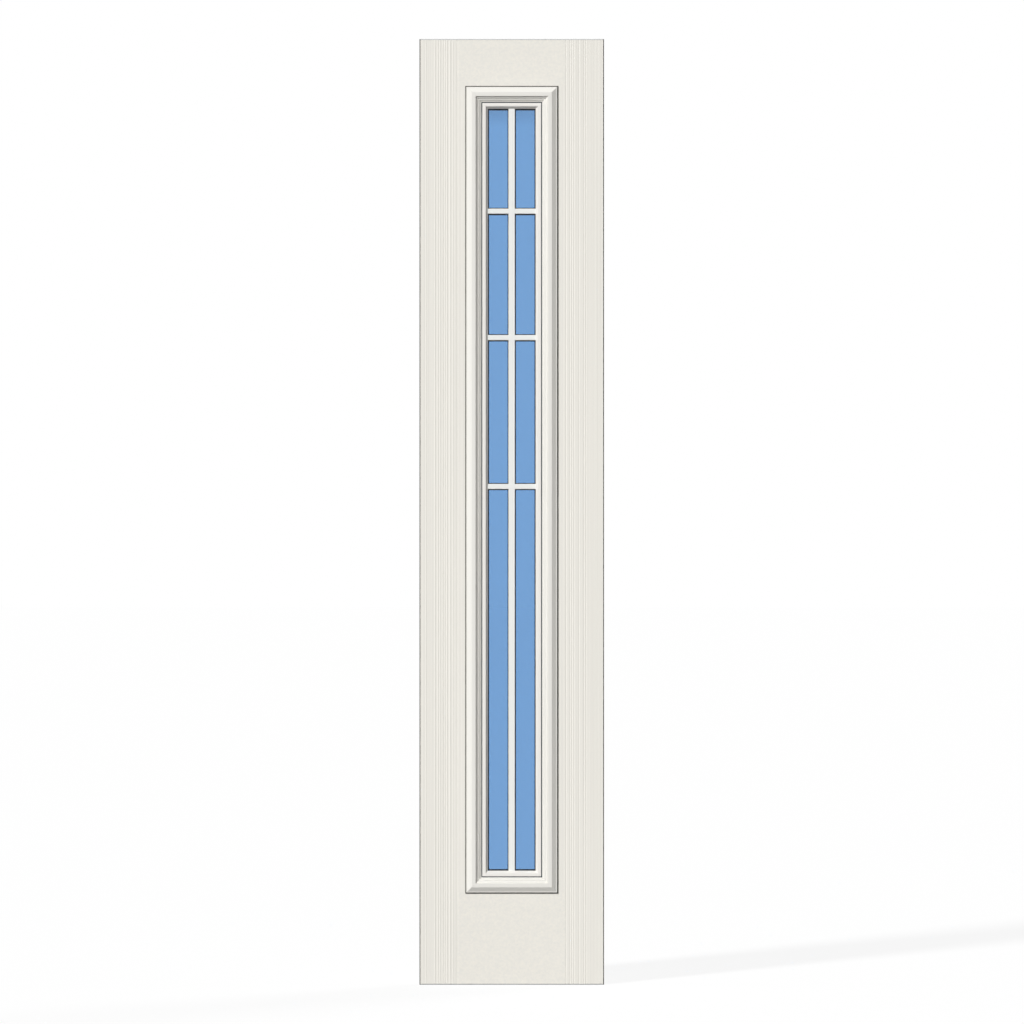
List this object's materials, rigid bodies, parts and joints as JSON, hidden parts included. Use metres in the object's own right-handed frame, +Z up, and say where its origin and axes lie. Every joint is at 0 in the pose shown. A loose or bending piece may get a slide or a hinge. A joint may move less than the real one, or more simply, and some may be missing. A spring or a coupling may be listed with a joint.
{
  "type": "sidelight door slab",
  "caption": "Tall narrow sidelight door slab with woodgrain faces, a moulded glazed frame and glazing bars dividing its blue glass.",
  "frame": {"origin": "middle of the slab's foot, in the middle of its width and thickness", "axes": "+Z up along the slab's height, +X across its width, and -Y out of its outside face"},
  "size_m": [0.394, 0.0672, 2.019],
  "materials": {
    "painted_fibreglass": "satin off-white paint over compression-moulded fibreglass with a straight grain along the stiles",
    "painted_lumber": "satin off-white paint over laminated lumber",
    "painted_composite": "matt off-white paint over solid composite",
    "polyurethane_foam": "rigid closed-cell foam",
    "moulded_frame": "satin off-white moulded plastic",
    "moulded_bead": "satin off-white moulded plastic",
    "moulded_bar": "satin off-white moulded plastic",
    "grey_seal": "closed-cell foam seal, grey",
    "black_glazing_tape": "butyl glazing tape, black",
    "spacer_aluminium": "mill-finish folded strip",
    "grid_aluminium": "off-white enamelled hollow strip",
    "tinted_glass": "float glass, light blue tint"
  },
  "bodies": {
    "root": {"bottom_rail": "painted_composite", "foam_core": "polyurethane_foam", "grid_between_panes": "grid_aluminium", "inside_bead_bottom": "moulded_bead", "inside_bead_left": "moulded_bead", "inside_bead_right": "moulded_bead", "inside_bead_top": "moulded_bead", "inside_frame_bottom": "moulded_frame", "inside_frame_left": "moulded_frame", "inside_frame_right": "moulded_frame", "inside_frame_seal": "grey_seal", "inside_frame_top": "moulded_frame", "inside_glazing_tape": "black_glazing_tape", "inside_lower_cross_bars": "moulded_bar", "inside_middle_cross_bars": "moulded_bar", "inside_pane": "tinted_glass", "inside_skin": "painted_fibreglass", "inside_upper_cross_bars": "moulded_bar", "inside_upright_bar": "moulded_bar", "left_stile": "painted_lumber", "outside_bead_bottom": "moulded_bead", "outside_bead_left": "moulded_bead", "outside_bead_right": "moulded_bead", "outside_bead_top": "moulded_bead", "outside_frame_bottom": "moulded_frame", "outside_frame_left": "moulded_frame", "outside_frame_right": "moulded_frame", "outside_frame_seal": "grey_seal", "outside_frame_top": "moulded_frame", "outside_glazing_tape": "black_glazing_tape", "outside_lower_cross_bars": "moulded_bar", "outside_middle_cross_bars": "moulded_bar", "outside_pane": "tinted_glass", "outside_skin": "painted_fibreglass", "outside_upper_cross_bars": "moulded_bar", "outside_upright_bar": "moulded_bar", "right_stile": "painted_lumber", "spacer_bar": "spacer_aluminium", "top_rail": "painted_composite", "unit_edge_sealant": "black_glazing_tape"}
  },
  "joints": []
}
